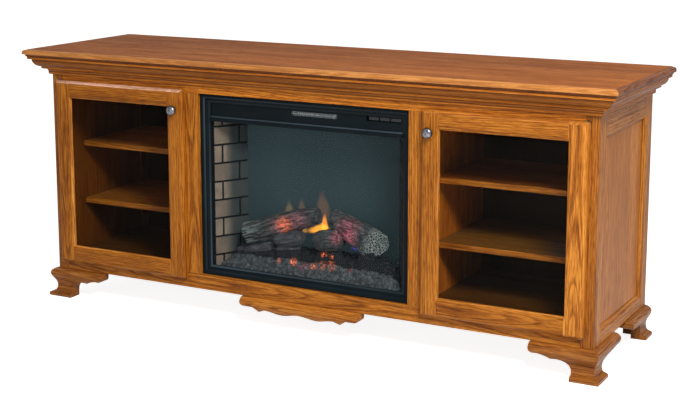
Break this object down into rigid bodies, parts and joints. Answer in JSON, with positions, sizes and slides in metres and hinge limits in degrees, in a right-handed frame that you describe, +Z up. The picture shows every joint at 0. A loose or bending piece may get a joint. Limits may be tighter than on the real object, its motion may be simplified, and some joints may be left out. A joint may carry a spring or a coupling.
{
  "type": "fireplace tv stand",
  "caption": "Long oak media cabinet on ogee bracket feet, with a glazed door at each end and an electric log fire behind glass in the middle.",
  "frame": {"origin": "middle of the bounding box's base, on the floor", "axes": "+X to the right as seen from the front, +Y to the back, +Z up"},
  "size_m": [1.8542, 0.5206, 0.771],
  "materials": {
    "oak": "satin stained oak",
    "oak_top": "satin stained oak, redder",
    "plywood": "stained plywood",
    "door_glass": "clear",
    "pewter": "antique pewter",
    "hinge_steel": "dull plated steel",
    "black_steel": "satin black powder coat",
    "mesh_steel": "plain expanded metal",
    "fire_glass": "clear, slightly tinted",
    "brick": "moulded brick relief, matt",
    "smoke_screen": "smoked",
    "charred_resin": "painted like charred bark",
    "ember_resin": "painted like coals and ash",
    "zinc_steel": "zinc plated",
    "grey_plastic": "matt grey"
  },
  "bodies": {
    "cabinet": {"crown_front": "oak", "bottom_rail": "oak", "top_rail": "oak", "valance": "oak", "crown_side_left": "oak", "crown_side_right": "oak", "outer_stile_left": "oak", "outer_stile_right": "oak", "inner_stile_left": "oak", "inner_stile_right": "oak", "side_frame_left": "oak", "side_frame_right": "oak", "side_panel_left": "oak", "side_panel_right": "oak", "shelf_lower_left": "oak", "shelf_lower_right": "oak", "shelf_upper_left": "oak", "shelf_upper_right": "oak", "front_foot_left": "oak", "front_foot_right": "oak", "rear_foot_left": "oak", "rear_foot_right": "oak", "top_board": "oak_top", "bottom_deck": "plywood", "back_panel": "plywood", "partition_left": "plywood", "partition_right": "plywood", "upper_pivot_left": "hinge_steel", "upper_pivot_right": "hinge_steel", "lower_pivot_left": "hinge_steel", "lower_pivot_right": "hinge_steel", "trim_frame": "black_steel", "housing": "black_steel", "hood": "black_steel", "mesh_grille": "mesh_steel", "fire_glass": "fire_glass", "brick_lining_left": "brick", "brick_lining_right": "brick", "flame_screen": "smoke_screen", "left_log": "charred_resin", "centre_log": "charred_resin", "right_log": "charred_resin", "ember_bed": "ember_resin"},
    "left_door": {"left_door_outer_stile": "oak", "left_door_inner_stile": "oak", "left_door_top_rail": "oak", "left_door_bottom_rail": "oak", "left_door_glass": "door_glass", "left_door_knob": "pewter"},
    "right_door": {"right_door_outer_stile": "oak", "right_door_inner_stile": "oak", "right_door_top_rail": "oak", "right_door_bottom_rail": "oak", "right_door_glass": "door_glass", "right_door_knob": "pewter"},
    "blower_wheel": {"blower_wheel": "zinc_steel"},
    "flicker_rod": {"flicker_rod": "zinc_steel"},
    "power_button": {"power_button": "grey_plastic"},
    "flame_button": {"flame_button": "grey_plastic"},
    "heat_button": {"heat_button": "grey_plastic"}
  },
  "joints": [
    {"name": "right_door_swing", "type": "hinge", "parent": "cabinet", "child": "right_door", "pos_m": [0.834, -0.20685, 0.3975], "axis": [0, 0, 1], "range_deg": [0, 110]},
    {"name": "left_door_swing", "type": "hinge", "parent": "cabinet", "child": "left_door", "pos_m": [-0.834, -0.20685, 0.3975], "axis": [0, 0, -1], "range_deg": [0, 110]},
    {"name": "blower_spin", "type": "hinge", "parent": "cabinet", "child": "blower_wheel", "pos_m": [0.031, -0.12075, 0.633], "axis": [1, 0, 0], "continuous": true},
    {"name": "flicker_spin", "type": "hinge", "parent": "cabinet", "child": "flicker_rod", "pos_m": [0, -0.03035, 0.1778], "axis": [1, 0, 0], "continuous": true},
    {"name": "power_button_push", "type": "slide", "parent": "cabinet", "child": "power_button", "axis": [0, 1, 0], "range_m": [0, 0.002], "stiffness_N_per_m": 300, "springref_m": -0.001},
    {"name": "flame_button_push", "type": "slide", "parent": "cabinet", "child": "flame_button", "axis": [0, 1, 0], "range_m": [0, 0.002], "stiffness_N_per_m": 300, "springref_m": -0.001},
    {"name": "heat_button_push", "type": "slide", "parent": "cabinet", "child": "heat_button", "axis": [0, 1, 0], "range_m": [0, 0.002], "stiffness_N_per_m": 300, "springref_m": -0.001}
  ]
}
